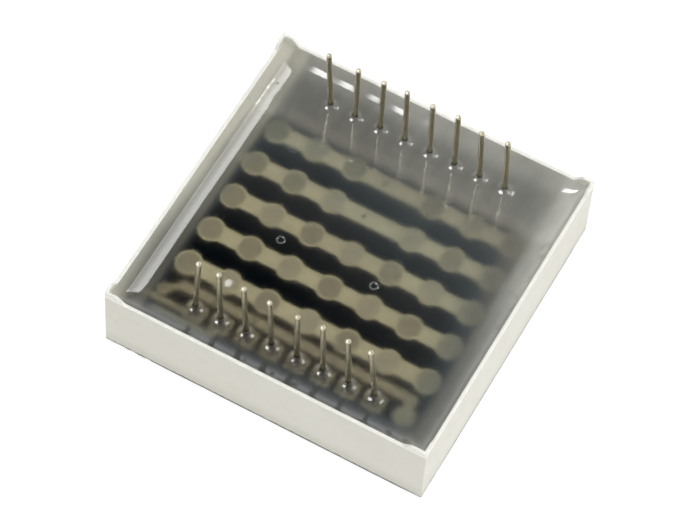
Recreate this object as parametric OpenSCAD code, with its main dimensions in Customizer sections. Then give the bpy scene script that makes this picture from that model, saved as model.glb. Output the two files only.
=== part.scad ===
// Square dot matrix display module, 8 x 8 round dots on a 4 mm pitch.
// A white moulded reflector tray holds the circuit board, and clear resin is
// poured over the board's back, with two rows of eight wire pins standing out.
// The module lies on its face: +Z runs from the face towards the pins,
// +X along the pin rows. The origin is the centre of the front face.
// All sizes are in millimetres.

/* [Body] */
// Outside width and depth of the square tray
body_w = 31.8; // [31.6:0.05:32]
// Height from the front face to the tops of the corner posts
body_h = 8.0; // [7.8:0.1:8.6]
// Height of the rim between the corner posts
rim_h = 7.3; // [7.1:0.05:7.5]
// Wall thickness at the rim
rim_t = 0.35; // [0.3:0.05:0.5]
// Wall thickness where the walls meet the reflector plate
wall_t = 0.75; // [0.7:0.05:0.8]
// Length of the flat top of a corner post, from the corner
post_flat = 0.95; // [0.8:0.05:1.2]
// Length of the curve that leads down from a post to the rim
post_slope = 1.0; // [0.8:0.1:1.4]

/* [Dots] */
// Number of dots along each side
dots = 8; // [8:1:8]
// Distance between neighbouring dots
dot_pitch = 4.0; // [3.95:0.05:4]
// Diameter of a dot at the front face
dot_d = 3.0; // [2.6:0.1:3]
// Diameter of a reflector cup where it meets the circuit board
cup_back_d = 1.9; // [1.8:0.05:2]
// Thickness of the black layer printed on the front face
mask_t = 0.1; // [0.08:0.01:0.12]
// Height of the reflector plate's back above the front face
plate_z = 3.25; // [3:0.05:3.4]

/* [Circuit board] */
// Clearance between the board's edge and the tray wall
board_gap = 0.15; // [0.1:0.05:0.2]
// Thickness of the bare laminate
board_t = 0.95; // [0.8:0.05:1]
// Thickness of each copper layer and of the solder resist between the tracks
foil_t = 0.05; // [0.04:0.01:0.06]
// Width of the copper bands on the back of the board
band_w = 1.65; // [1.4:0.05:1.8]
// Diameter of the round lands on the bands
land_d = 2.54; // [2.3:0.02:2.7]
// Diameter of the flat solder disc on each round land
disc_d = 2.1; // [1.8:0.05:2.2]
// Thickness of the flat solder disc
disc_t = 0.05; // [0.04:0.01:0.08]
// Side of the square land round each pin
pin_land = 1.85; // [1.6:0.05:1.9]
// Diameter of a plated hole
via_d = 0.4; // [0.3:0.05:0.5]

/* [Chips] */
// Side of a light-emitting chip
die_w = 0.3; // [0.24:0.01:0.32]
// Height of a light-emitting chip
die_h = 0.2; // [0.15:0.01:0.25]
// Diameter of the bond wire
wire_d = 0.05; // [0.04:0.01:0.05]
// Distance from the chip to the foot of its bond wire
wire_span = 0.62; // [0.56:0.02:0.66]

/* [Pins] */
// Number of pins in a row
pins_per_row = 8; // [8:1:8]
// Distance between neighbouring pins in a row
pin_pitch = 2.54; // [2.54:0.01:2.54]
// Distance between the two rows
row_spacing = 24.38; // [24:0.02:24.4]
// Diameter of a pin
pin_d = 0.5; // [0.48:0.01:0.52]
// Diameter of a pin's thicker root, which narrows to the pin at the top of the resin ring
root_d = 0.56; // [0.54:0.01:0.6]
// Height of the pin tips above the front face
pin_tip_z = 13.75; // [12:0.25:15]

/* [Resin] */
// Level of the flat resin surface above the front face
resin_z = 6.15; // [5.8:0.05:6.3]
// Height to which the resin climbs at the walls
creep_h = 1.0; // [0.3:0.1:1]
// Width of the curved strip where the resin meets a wall
creep_w = 2.6; // [1:0.1:2.6]
// Height to which the resin climbs round a pin
collar_h = 0.35; // [0.2:0.05:0.5]
// Radius of the raised ring round a pin
collar_r = 0.8; // [0.6:0.05:0.9]

/* [Hidden] */
$fn = 48;
half = body_w / 2;
inner0 = half - wall_t;                 // half width of the inside at the plate
inner1 = half - rim_t;                  // half width of the inside at the rim
board_half = inner0 - board_gap;
front_cu_z = plate_z;                   // copper on the chip side
lam_z = front_cu_z + foil_t;            // laminate
rear_cu_z = lam_z + board_t;            // copper on the resin side
rear_z = rear_cu_z + foil_t;            // back of the finished board
dot_at = [for (i = [0 : dots - 1]) (i - (dots - 1) / 2) * dot_pitch];
pin_x = [for (i = [0 : pins_per_row - 1]) (i - (pins_per_row - 1) / 2) * pin_pitch];
row_y = row_spacing / 2;
// Pins 1 to 8 run along the -Y row, pins 9 to 16 come back along the +Y row
pin_at = concat([for (x = pin_x) [x, -row_y]],
                [for (i = [pins_per_row - 1 : -1 : 0]) [pin_x[i], row_y]]);
solder_h = 0.5;                         // solder fillet round a pin
root_low = rear_z + solder_h;           // a pin's root is straight to here
root_top = resin_z + collar_h;          // and narrows to the pin at the top of the resin ring
tip_h = 0.12;                           // rounded end of a pin
// Copper bands: height of each on the board, and whether its middle land is there
bands = [[-8, true], [-4, true], [0, true], [4, false], [8, false]];
track_y = 10.25;                        // track between the bands and the pins
track_w = 0.95;
thin_w = 0.6;
edge_run = board_half - 0.5;
via_at = concat([for (x = [-8, -4, 0, 4]) [x, -track_y]],
                [for (x = [-8, -4, 0, 4]) [x, track_y]],
                [[-12.6, -11.4], [-0.9, 4], [-0.9, 8]]);
// Radius of a reflector cup at height z
function cup_r(z) = dot_d / 2 + (cup_back_d - dot_d) / 2 * (z - mask_t) / (plate_z - mask_t);
// Half width of the tray's inside at height z
function inner(z) = inner0 + (inner1 - inner0) * (z - plate_z) / (rim_h - plate_z);
// Smooth step from 1 down to 0
function ease(t) = (1 + cos(180 * t)) / 2;

// ---------- helpers ----------

// A child at every dot
module at_dots() {
    for (x = dot_at) for (y = dot_at) translate([x, y, 0]) children();
}

// A child at every pin
module at_pins() {
    for (p = pin_at) translate([p[0], p[1], 0]) children();
}

// The drafted inside of the tray from z0 to z1
module inside(z0, z1) {
    intersection() {
        rotate([90, 0, 0]) linear_extrude(height = body_w, center = true)
            polygon([[-inner(z0), z0], [inner(z0), z0], [inner(z1), z1], [-inner(z1), z1]]);
        rotate([90, 0, 90]) linear_extrude(height = body_w, center = true)
            polygon([[-inner(z0), z0], [inner(z0), z0], [inner(z1), z1], [-inner(z1), z1]]);
    }
}

// What is cut from a pair of opposite walls to leave the posts at their ends
module rim_cut() {
    steps = 10;
    a = half - post_flat;
    drop = body_h - rim_h;
    right = [for (i = [0 : steps]) [a - post_slope * i / steps, rim_h + drop * ease(i / steps)]];
    left = [for (i = [steps : -1 : 0]) [-a + post_slope * i / steps, rim_h + drop * ease(i / steps)]];
    rotate([90, 0, 0]) linear_extrude(height = body_w + 2, center = true)
        polygon(concat([[-a, body_h + 1], [a, body_h + 1]], right, left));
}

// A straight track with round ends from a to b, in the plane of the board
module track(a, b, w) {
    d = b - a;
    len = norm(d);
    translate(a) rotate(atan2(d[1], d[0])) translate([0, -w / 2]) square([len, w]);
    translate(a) circle(d = w);
    translate(b) circle(d = w);
}

// Outline of all copper on the back of the board
module rear_copper_shape() {
    for (b = bands) {
        translate([-3 * dot_pitch, b[0] - band_w / 2]) square([6 * dot_pitch, band_w]);
        for (i = [-3 : 3]) if (b[1] || i != 0)
            translate([i * dot_pitch, b[0]]) circle(d = land_d);
    }
    // one band runs on to the board's edge
    translate([-edge_run, 4 - 0.6]) square([edge_run - 3 * dot_pitch, 1.2]);
    // track beside the first pin row, with its via land and its round end land
    track([-11.2, -track_y], [11.75, -track_y], track_w);
    track([-11.2, -track_y], [-12.6, -11.4], thin_w);
    translate([-12.6, -11.4]) circle(d = 1.25);
    translate([11.3, -12]) square([track_w, 12 - track_y]);
    translate([11.9, -12.1]) circle(d = 2.2);
    // track beside the second pin row
    track([-11.75, track_y], [11.75, track_y], track_w);
    // square lands round the pins
    for (p = pin_at) translate([p[0] - pin_land / 2, p[1] - pin_land / 2]) square(pin_land);
    // runs that lead from the first two lands to the board's edge
    translate([-edge_run, -12.8]) square([edge_run + pin_x[0], thin_w]);
    track([-12.4, -13.7], [pin_x[1] - 0.3, -13.7], thin_w);
    translate([pin_x[1] - 0.6, -13.7]) square([thin_w, 1]);
}

// Outline of the copper on the chip side: one strip a column, one bond pad a dot
module front_copper_shape() {
    for (x = dot_at) {
        translate([x - 0.2, -edge_run]) square([0.4, 2 * edge_run]);
        for (y = dot_at) {
            translate([x - 0.24, y - 0.24]) square(0.48);
            translate([x + wire_span - 0.15, y - 0.2]) square([0.3, 0.4]);
        }
    }
}

module board_outline() { square(2 * board_half, center = true); }

// Bores for the pin roots and the plated holes, through everything from z0 to z1
module board_bores(z0, z1) {
    at_pins() translate([0, 0, z0]) cylinder(d = root_d, h = z1 - z0);
    for (v = via_at) translate([v[0], v[1], z0]) cylinder(d = via_d, h = z1 - z0);
}

// The root of a pin: straight in the board and the solder, then tapered
module pin_root() {
    translate([0, 0, plate_z]) cylinder(d = root_d, h = root_low - plate_z);
    translate([0, 0, root_low]) cylinder(d1 = root_d, d2 = pin_d, h = root_top - root_low);
}

// One pin with its foot at the board's chip side
module pin_wire(i) {
    translate([pin_at[i][0], pin_at[i][1], 0]) {
        pin_root();
        translate([0, 0, root_top]) cylinder(d = pin_d, h = pin_tip_z - tip_h - root_top);
        translate([0, 0, pin_tip_z - tip_h]) cylinder(d1 = pin_d, d2 = pin_d - 2 * tip_h, h = tip_h);
    }
}

// The curved strip of resin along the +Y wall
module wall_creep() {
    steps = 8;
    face = inner(resin_z);
    curve = [for (i = [0 : steps]) [face - creep_w * i / steps,
                                    resin_z + creep_h * pow(1 - i / steps, 3)]];
    rotate([90, 0, 90]) linear_extrude(height = 2 * half, center = true)
        polygon(concat([[face + 0.3, resin_z - 0.4], [face + 0.3, resin_z + creep_h]],
                       curve, [[face - creep_w, resin_z - 0.4]]));
}

// The raised ring of resin round a pin
module pin_collar() {
    steps = 6;
    r0 = pin_d / 2;
    curve = [for (i = [0 : steps]) [r0 + (collar_r - r0) * i / steps,
                                    resin_z + collar_h * pow(1 - i / steps, 2.2)]];
    rotate_extrude() polygon(concat([[0, resin_z - 0.2], [0, resin_z + collar_h]],
                                    curve, [[collar_r, resin_z - 0.2]]));
}

// ---------- sub-parts ----------

// White tray: reflector plate with a conical cup behind each dot, four drafted
// walls, and a post at each corner that stands above the rim
module reflector_shell() {
    color([0.93, 0.93, 0.89]) difference() {
        translate([-half, -half, mask_t]) cube([body_w, body_w, body_h - mask_t]);
        inside(plate_z, body_h + 0.5);
        rim_cut();
        rotate([0, 0, 90]) rim_cut();
        at_dots() cylinder(h = plate_z + 0.1, r1 = cup_r(0), r2 = cup_r(plate_z + 0.1));
    }
}

// Black layer on the front face, open at each dot
module face_mask() {
    color([0.04, 0.04, 0.045]) difference() {
        translate([-half, -half, 0]) cube([body_w, body_w, mask_t]);
        at_dots() translate([0, 0, -0.1]) cylinder(d = dot_d, h = mask_t + 0.2);
    }
}

// Milky resin that fills each cup, round the chip and its wire
module dot_lenses() {
    color([0.86, 0.87, 0.84]) at_dots() difference() {
        union() {
            cylinder(d = dot_d, h = mask_t);
            translate([0, 0, mask_t]) cylinder(h = plate_z - mask_t, r1 = dot_d / 2, r2 = cup_back_d / 2);
        }
        die_block();
        wire_loop();
    }
}

// One chip, on the board's face, pointing down at the front
module die_block() {
    translate([-die_w / 2, -die_w / 2, plate_z - die_h]) cube([die_w, die_w, die_h]);
}

// One bond wire: a half loop off the chip and a straight foot on its pad
module wire_loop() {
    loop_r = wire_span / 2;
    translate([loop_r, 0, plate_z - die_h]) rotate([-90, 0, 0])
        rotate_extrude(angle = 180) translate([loop_r, 0]) circle(d = wire_d, $fn = 24);
    translate([wire_span, 0, plate_z - die_h]) cylinder(d = wire_d, h = die_h, $fn = 24);
}

// Sixty-four chips
module led_dies() {
    color([0.78, 0.70, 0.38]) at_dots() die_block();
}

// Sixty-four bond wires
module bond_wires() {
    color([0.95, 0.78, 0.35]) at_dots() wire_loop();
}

// Column strips and bond pads on the chip side
module front_copper() {
    color([0.72, 0.50, 0.30]) difference() {
        translate([0, 0, front_cu_z]) linear_extrude(height = foil_t) front_copper_shape();
        board_bores(front_cu_z - 0.1, lam_z + 0.1);
    }
}

// White solder resist between the strips on the chip side
module front_resist() {
    color([0.90, 0.91, 0.88]) difference() {
        translate([0, 0, front_cu_z]) linear_extrude(height = foil_t) difference() {
            board_outline();
            front_copper_shape();
        }
        board_bores(front_cu_z - 0.1, lam_z + 0.1);
    }
}

// Bare laminate, drilled for the pins and the plated holes
module circuit_board() {
    color([0.10, 0.13, 0.15]) difference() {
        translate([-board_half, -board_half, lam_z]) cube([2 * board_half, 2 * board_half, board_t]);
        board_bores(lam_z - 0.1, rear_cu_z + 0.1);
    }
}

// Bands, lands and tracks on the resin side
module rear_copper() {
    color([0.60, 0.55, 0.44]) difference() {
        translate([0, 0, rear_cu_z]) linear_extrude(height = foil_t) rear_copper_shape();
        board_bores(rear_cu_z - 0.1, rear_z + 0.1);
    }
}

// Black solder resist round the copper on the resin side
module rear_resist() {
    color([0.03, 0.05, 0.08]) difference() {
        translate([0, 0, rear_cu_z]) linear_extrude(height = foil_t) difference() {
            board_outline();
            rear_copper_shape();
        }
        board_bores(rear_cu_z - 0.1, rear_z + 0.1);
    }
}

// Plated holes, filled flush with the copper on both sides
module via_plugs() {
    color([0.32, 0.29, 0.24])
        for (v = via_at) translate([v[0], v[1], front_cu_z]) cylinder(d = via_d, h = rear_z - front_cu_z);
}

// Flat solder disc on each round land
module land_solder() {
    color([0.50, 0.47, 0.40]) translate([0, 0, rear_z])
        for (b = bands) for (i = [-3 : 3]) if (b[1] || i != 0)
            translate([i * dot_pitch, b[0], 0]) cylinder(d = disc_d, h = disc_t);
}

// Solder fillet round the root of each pin
module pin_solder() {
    color([0.62, 0.60, 0.54]) at_pins() difference() {
        translate([0, 0, rear_z]) cylinder(d1 = 1.3, d2 = root_d + 0.12, h = solder_h);
        translate([0, 0, rear_z - 0.1]) cylinder(d = root_d, h = solder_h + 0.2);
    }
}

// Clear resin over the back of the board and down its edges, with its surface
// drawn up at the walls and round each pin
module potting_resin() {
    color([0.55, 0.56, 0.52, 0.45]) difference() {
        intersection() {
            inside(plate_z, resin_z + creep_h + 0.2);
            union() {
                translate([-half, -half, plate_z]) cube([body_w, body_w, resin_z - plate_z]);
                for (a = [0 : 90 : 270]) rotate([0, 0, a]) wall_creep();
                at_pins() pin_collar();
            }
        }
        translate([-board_half, -board_half, plate_z - 0.1])
            cube([2 * board_half, 2 * board_half, rear_z - plate_z + 0.1]);
        land_solder();
        at_pins() {
            pin_root();
            translate([0, 0, rear_z]) cylinder(d1 = 1.3, d2 = root_d + 0.12, h = solder_h);
        }
    }
}

module pin_01() { color([0.52, 0.49, 0.37]) pin_wire(0); }
module pin_02() { color([0.52, 0.49, 0.37]) pin_wire(1); }
module pin_03() { color([0.52, 0.49, 0.37]) pin_wire(2); }
module pin_04() { color([0.52, 0.49, 0.37]) pin_wire(3); }
module pin_05() { color([0.52, 0.49, 0.37]) pin_wire(4); }
module pin_06() { color([0.52, 0.49, 0.37]) pin_wire(5); }
module pin_07() { color([0.52, 0.49, 0.37]) pin_wire(6); }
module pin_08() { color([0.52, 0.49, 0.37]) pin_wire(7); }
module pin_09() { color([0.52, 0.49, 0.37]) pin_wire(8); }
module pin_10() { color([0.52, 0.49, 0.37]) pin_wire(9); }
module pin_11() { color([0.52, 0.49, 0.37]) pin_wire(10); }
module pin_12() { color([0.52, 0.49, 0.37]) pin_wire(11); }
module pin_13() { color([0.52, 0.49, 0.37]) pin_wire(12); }
module pin_14() { color([0.52, 0.49, 0.37]) pin_wire(13); }
module pin_15() { color([0.52, 0.49, 0.37]) pin_wire(14); }
module pin_16() { color([0.52, 0.49, 0.37]) pin_wire(15); }

reflector_shell();
face_mask();
dot_lenses();
led_dies();
bond_wires();
front_copper();
front_resist();
circuit_board();
rear_copper();
rear_resist();
via_plugs();
land_solder();
pin_solder();
potting_resin();
pin_01();
pin_02();
pin_03();
pin_04();
pin_05();
pin_06();
pin_07();
pin_08();
pin_09();
pin_10();
pin_11();
pin_12();
pin_13();
pin_14();
pin_15();
pin_16();
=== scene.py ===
import math

import bmesh
import bpy
import numpy as np
from mathutils import Matrix, Vector


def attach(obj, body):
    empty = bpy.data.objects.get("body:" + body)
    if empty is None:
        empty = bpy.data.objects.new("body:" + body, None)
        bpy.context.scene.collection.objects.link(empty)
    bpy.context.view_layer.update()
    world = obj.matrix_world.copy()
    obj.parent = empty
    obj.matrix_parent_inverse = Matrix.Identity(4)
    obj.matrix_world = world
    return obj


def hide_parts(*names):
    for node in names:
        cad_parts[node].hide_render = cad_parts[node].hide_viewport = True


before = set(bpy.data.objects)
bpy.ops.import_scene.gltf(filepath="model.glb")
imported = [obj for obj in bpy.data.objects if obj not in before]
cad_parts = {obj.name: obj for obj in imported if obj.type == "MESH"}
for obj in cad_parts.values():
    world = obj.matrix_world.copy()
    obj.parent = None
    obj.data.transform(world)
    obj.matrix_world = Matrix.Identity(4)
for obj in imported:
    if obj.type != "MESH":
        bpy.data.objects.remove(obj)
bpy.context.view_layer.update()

# ---------------------------------------------------------------------------
# Sizes, in millimetres, as in the CAD
# ---------------------------------------------------------------------------
MM = 0.001
HALF = 15.9          # half width of the tray
POST_Z, RIM_Z = 8.0, 7.3
POST_FLAT, POST_SLOPE = 0.95, 1.0
MASK_T = 0.1
PLATE_Z = 3.25
IN0, IN1 = 15.15, 15.55     # half width of the inside at the plate and at the rim
RESIN_Z = 6.15
PITCH = 4.0
DOT_R, CUP_R = 1.5, 0.95
PIN_R, ROOT_R = 0.25, 0.28
TIP_Z = 13.75
PIN_X = [(i - 3.5) * 2.54 for i in range(8)]
ROW_Y = 12.19
DOTS = [(i - 3.5) * PITCH for i in range(8)]
# pins 1 to 8 along -Y, 9 to 16 back along +Y
PINS = [(x, -ROW_Y) for x in PIN_X] + [(x, ROW_Y) for x in reversed(PIN_X)]


def inner(z):
    return IN0 + (IN1 - IN0) * (z - PLATE_Z) / (RIM_Z - PLATE_Z)


# ---------------------------------------------------------------------------
# Node helpers
# ---------------------------------------------------------------------------
def node(nt, kind, ins=None, **props):
    n = nt.nodes.new(kind)
    for k, v in props.items():
        setattr(n, k, v)
    for k, v in (ins or {}).items():
        s = n.inputs[k]
        if isinstance(v, bpy.types.NodeSocket):
            nt.links.new(v, s)
        else:
            s.default_value = v
    return n


def mth(nt, op, a, b=None, c=None, clamp=False):
    n = nt.nodes.new("ShaderNodeMath")
    n.operation = op
    n.use_clamp = clamp
    for i, v in enumerate((a, b, c)):
        if v is None:
            continue
        if isinstance(v, bpy.types.NodeSocket):
            nt.links.new(v, n.inputs[i])
        else:
            n.inputs[i].default_value = v
    return n.outputs[0]


def step(nt, v, lo, hi, a=0.0, b=1.0, kind="SMOOTHSTEP"):
    n = node(nt, "ShaderNodeMapRange", {"Value": v, "From Min": lo, "From Max": hi, "To Min": a, "To Max": b},
             interpolation_type=kind)
    return n.outputs[0]


def mix(nt, fac, a, b, mode="MIX"):
    n = nt.nodes.new("ShaderNodeMix")
    n.data_type = "RGBA"
    n.blend_type = mode
    for key, v in ((0, fac), (6, a), (7, b)):
        if isinstance(v, bpy.types.NodeSocket):
            nt.links.new(v, n.inputs[key])
        elif key == 0:
            n.inputs[key].default_value = v
        else:
            n.inputs[key].default_value = tuple(v) if len(v) == 4 else (*v, 1.0)
    return n.outputs[2]


def coords(nt):
    """Object position in millimetres, and its parts."""
    tc = node(nt, "ShaderNodeTexCoord")
    sc = node(nt, "ShaderNodeVectorMath", {0: tc.outputs["Object"], "Scale": 1000.0}, operation="SCALE")
    xyz = node(nt, "ShaderNodeSeparateXYZ", {0: sc.outputs[0]})
    return sc.outputs[0], xyz.outputs[0], xyz.outputs[1], xyz.outputs[2]


def stretch(nt, vec, s):
    return node(nt, "ShaderNodeVectorMath", {0: vec, 1: s}, operation="MULTIPLY").outputs[0]


def noise(nt, vec, scale, detail=3.0, rough=0.5, dist=0.0):
    return node(nt, "ShaderNodeTexNoise",
                {"Vector": vec, "Scale": scale, "Detail": detail, "Roughness": rough, "Distortion": dist}).outputs["Fac"]


def voronoi(nt, vec, scale, feature="F1"):
    return node(nt, "ShaderNodeTexVoronoi", {"Vector": vec, "Scale": scale}, feature=feature).outputs["Distance"]


def bump(nt, height, strength, dist_mm, normal=None):
    ins = {"Height": height, "Strength": strength, "Distance": dist_mm * MM}
    if normal is not None:
        ins["Normal"] = normal
    return node(nt, "ShaderNodeBump", ins).outputs[0]


def near(nt, vec, point, r, power=2.0):
    """1 at a point, falling smoothly to 0 over r millimetres."""
    d = node(nt, "ShaderNodeVectorMath", {0: vec, 1: point}, operation="DISTANCE").outputs["Value"]
    return step(nt, d, r, 0.0)


def seg_dist(nt, x, y, a, b):
    """Distance in the XY plane to the segment from a to b."""
    dx, dy = b[0] - a[0], b[1] - a[1]
    L2 = dx * dx + dy * dy
    px = mth(nt, "SUBTRACT", x, a[0])
    py = mth(nt, "SUBTRACT", y, a[1])
    t = mth(nt, "DIVIDE", mth(nt, "ADD", mth(nt, "MULTIPLY", px, dx), mth(nt, "MULTIPLY", py, dy)), L2, clamp=True)
    qx = mth(nt, "SUBTRACT", px, mth(nt, "MULTIPLY", t, dx))
    qy = mth(nt, "SUBTRACT", py, mth(nt, "MULTIPLY", t, dy))
    return mth(nt, "SQRT", mth(nt, "ADD", mth(nt, "MULTIPLY", qx, qx), mth(nt, "MULTIPLY", qy, qy)))


def material(name):
    m = bpy.data.materials.new(name)
    m.use_nodes = True
    nt = m.node_tree
    nt.nodes.clear()
    out = nt.nodes.new("ShaderNodeOutputMaterial")
    p = nt.nodes.new("ShaderNodeBsdfPrincipled")
    nt.links.new(p.outputs[0], out.inputs[0])
    return m, nt, p, out


def wire(nt, p, **ins):
    names = {"color": "Base Color", "rough": "Roughness", "metal": "Metallic", "normal": "Normal", "coat": "Coat Weight",
             "coat_rough": "Coat Roughness", "coat_ior": "Coat IOR", "coat_normal": "Coat Normal", "ior": "IOR",
             "spec": "Specular IOR Level", "trans": "Transmission Weight", "sss": "Subsurface Weight",
             "sss_scale": "Subsurface Scale", "sss_radius": "Subsurface Radius", "aniso": "Anisotropic",
             "tint": "Specular Tint", "emit": "Emission Color", "emit_s": "Emission Strength", "alpha": "Alpha"}
    for k, v in ins.items():
        s = p.inputs[names[k]]
        if isinstance(v, bpy.types.NodeSocket):
            nt.links.new(v, s)
        elif k in ("color", "tint", "emit") and len(v) == 3:
            s.default_value = (*v, 1.0)
        else:
            s.default_value = v


# ---------------------------------------------------------------------------
# Materials
# ---------------------------------------------------------------------------
def mat_shell():
    m, nt, p, _ = material("shell_white")
    v, x, y, z = coords(nt)
    big = noise(nt, v, 0.16, 2.0)
    mid = noise(nt, v, 0.9, 4.0, 0.6)
    fine = noise(nt, v, 14.0, 3.0, 0.6)
    c = mix(nt, step(nt, big, 0.35, 0.65), (0.765, 0.750, 0.660), (0.785, 0.772, 0.690))
    c = mix(nt, step(nt, mid, 0.42, 0.75, 0.0, 0.35), c, (0.735, 0.715, 0.62))
    c = mix(nt, step(nt, fine, 0.60, 0.78, 0.0, 0.18), c, (0.66, 0.64, 0.56))
    # faint handling marks low on two walls
    for pt, r, k in (((-14.75, -15.9, 4.1), 0.35, 0.28), ((-14.62, -15.9, 3.7), 0.16, 0.4),
                     ((15.9, -15.0, 5.4), 0.22, 0.35), ((15.9, -14.6, 2.6), 0.3, 0.22), ((4.2, -15.9, 2.2), 0.25, 0.16)):
        g = mth(nt, "MULTIPLY", near(nt, v, pt, r), step(nt, noise(nt, v, 9.0, 3.0), 0.35, 0.6))
        c = mix(nt, mth(nt, "MULTIPLY", g, k), c, (0.42, 0.40, 0.34))
    # painted highlight: the top edges are painted a touch lighter; the foot is a touch greyer
    c = mix(nt, step(nt, z, 7.16, 7.28, 0.0, 0.85), c, (0.985, 0.98, 0.905))
    foot = mth(nt, "MULTIPLY", step(nt, z, 0.9, 0.1), step(nt, noise(nt, stretch(nt, v, (1.0, 1.0, 0.3)), 1.6, 3.0), 0.35, 0.7))
    c = mix(nt, mth(nt, "MULTIPLY", foot, 0.3), c, (0.56, 0.55, 0.49))
    c = mix(nt, step(nt, z, 1.9, 0.5, 0.0, 0.45), c, (0.60, 0.59, 0.51))
    # the lowest 0.2 to 0.3 mm of the walls is near black, with an uneven top edge
    foot_band = mth(nt, "ADD", z, step(nt, noise(nt, v, 2.2, 3.0), 0.3, 0.7, -0.07, 0.07, "LINEAR"))
    c = mix(nt, step(nt, foot_band, 0.34, 0.20, 0.0, 0.8), c, (0.10, 0.10, 0.09))
    # faint greyish streaks on the +X wall
    st = step(nt, noise(nt, stretch(nt, v, (1.0, 0.35, 1.2)), 2.4, 4.0, 0.6), 0.50, 0.72)
    st = mth(nt, "MULTIPLY", st, step(nt, x, 15.7, 15.85))
    c = mix(nt, mth(nt, "MULTIPLY", st, 0.30), c, (0.56, 0.555, 0.50))
    r = step(nt, mid, 0.3, 0.7, 0.42, 0.55, "LINEAR")
    h = mth(nt, "ADD", mth(nt, "MULTIPLY", fine, 0.5), mth(nt, "MULTIPLY", noise(nt, v, 3.0, 2.0), 0.8))
    wire(nt, p, color=c, rough=r, normal=bump(nt, h, 0.25, 0.02), ior=1.49, sss=0.10, sss_scale=0.0006,
         sss_radius=(1.0, 0.85, 0.6))
    return m


def mat_ink():
    m, nt, p, _ = material("face_ink")
    v, x, y, z = coords(nt)
    fine = noise(nt, v, 22.0, 3.0, 0.6)
    mid = noise(nt, v, 1.3, 4.0, 0.6)
    c = mix(nt, mid, (0.016, 0.016, 0.018), (0.030, 0.030, 0.033))
    c = mix(nt, step(nt, fine, 0.66, 0.8, 0.0, 0.5), c, (0.07, 0.07, 0.075))
    r = step(nt, mid, 0.3, 0.7, 0.42, 0.60, "LINEAR")
    wire(nt, p, color=c, rough=r, normal=bump(nt, fine, 0.35, 0.012))
    return m


def mat_dot():
    m, nt, p, _ = material("dot_resin")
    v, x, y, z = coords(nt)
    # distance from the middle of the nearest dot
    def cell(a):
        f = mth(nt, "FRACT", mth(nt, "DIVIDE", mth(nt, "ADD", a, 40.0), 4.0))
        return mth(nt, "MULTIPLY", mth(nt, "SUBTRACT", f, 0.5), 4.0)
    cx, cy = cell(x), cell(y)
    rr = mth(nt, "SQRT", mth(nt, "ADD", mth(nt, "MULTIPLY", cx, cx), mth(nt, "MULTIPLY", cy, cy)))
    mid = noise(nt, v, 1.7, 3.0, 0.6)
    fine = noise(nt, v, 25.0, 2.0, 0.5)
    # painted shading: each dot is darker in its middle and lighter out to its rim, and a darker ring is painted at its
    # rim
    c = mix(nt, step(nt, rr, 0.15, 1.45), (0.70, 0.705, 0.665), (0.80, 0.805, 0.765))
    c = mix(nt, step(nt, rr, 1.36, 1.5, 0.0, 0.5), c, (0.62, 0.62, 0.585))
    c = mix(nt, step(nt, mid, 0.4, 0.7, 0.0, 0.4), c, (0.755, 0.76, 0.72))
    # the chip and its wire show faintly through the milky resin
    chip = mth(nt, "MAXIMUM", mth(nt, "ABSOLUTE", cx), mth(nt, "ABSOLUTE", cy))
    c = mix(nt, step(nt, chip, 0.30, 0.10, 0.0, 0.35), c, (0.55, 0.50, 0.33))
    wx = mth(nt, "MULTIPLY", step(nt, mth(nt, "ABSOLUTE", cy), 0.10, 0.02), mth(nt, "MULTIPLY", step(nt, cx, 0.1, 0.2), step(nt, cx, 0.75, 0.6)))
    c = mix(nt, mth(nt, "MULTIPLY", wx, 0.12), c, (0.60, 0.50, 0.28))
    wire(nt, p, color=c, rough=step(nt, mid, 0.3, 0.7, 0.16, 0.28, "LINEAR"), normal=bump(nt, mth(nt, "ADD", mid, mth(nt, "MULTIPLY", fine, 0.15)), 0.2, 0.02),
         sss=0.25, sss_scale=0.0008, sss_radius=(1.0, 0.95, 0.85), ior=1.52)
    return m


def mat_plated(name="plated_copper", a=(0.800, 0.725, 0.465), b=(0.730, 0.660, 0.420), spot=(0.64, 0.575, 0.365)):
    m, nt, p, _ = material(name)
    v, x, y, z = coords(nt)
    big = noise(nt, v, 0.22, 2.0)
    mid = noise(nt, v, 1.1, 4.0, 0.6)
    fine = noise(nt, v, 12.0, 3.0, 0.6)
    c = mix(nt, step(nt, big, 0.35, 0.65), a, b)
    c = mix(nt, step(nt, mid, 0.45, 0.75, 0.0, 0.5), c, spot)
    c = mix(nt, step(nt, fine, 0.62, 0.8, 0.0, 0.3), c, tuple(0.7 * k for k in spot))
    # painted light: the copper is brightened towards the back and the +X side
    away = mth(nt, "ADD", mth(nt, "MULTIPLY", x, 0.3), y)
    c = mix(nt, step(nt, away, -1.0, 10.0, kind="LINEAR"), c, (1.34, 1.26, 1.24), "MULTIPLY")
    # painted shade: past 9.9 mm from the middle in y, by the rows of pins, the copper is darkened to stand in for
    # dimming under the cloudier resin
    c = mix(nt, step(nt, mth(nt, "ABSOLUTE", y), 9.0, 9.9, 0.0, 1.0), c, (0.70, 0.67, 0.67), "MULTIPLY")
    wire(nt, p, color=c, rough=step(nt, mid, 0.3, 0.7, 0.45, 0.62, "LINEAR"), metal=0.1, spec=0.1,
         normal=bump(nt, mth(nt, "ADD", fine, mid), 0.3, 0.015))
    return m


def mat_resist():
    m, nt, p, _ = material("resist_black")
    v, x, y, z = coords(nt)
    mid = noise(nt, v, 0.7, 4.0, 0.6)
    fine = noise(nt, v, 10.0, 3.0, 0.6)
    c = mix(nt, step(nt, mid, 0.3, 0.7), (0.0008, 0.0030, 0.0055), (0.0020, 0.0050, 0.0085))
    c = mix(nt, step(nt, fine, 0.64, 0.82, 0.0, 0.3), c, (0.008, 0.013, 0.018))
    wire(nt, p, color=c, rough=step(nt, mid, 0.3, 0.7, 0.38, 0.55, "LINEAR"), spec=0.0,
         normal=bump(nt, fine, 0.25, 0.01))
    return m


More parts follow.
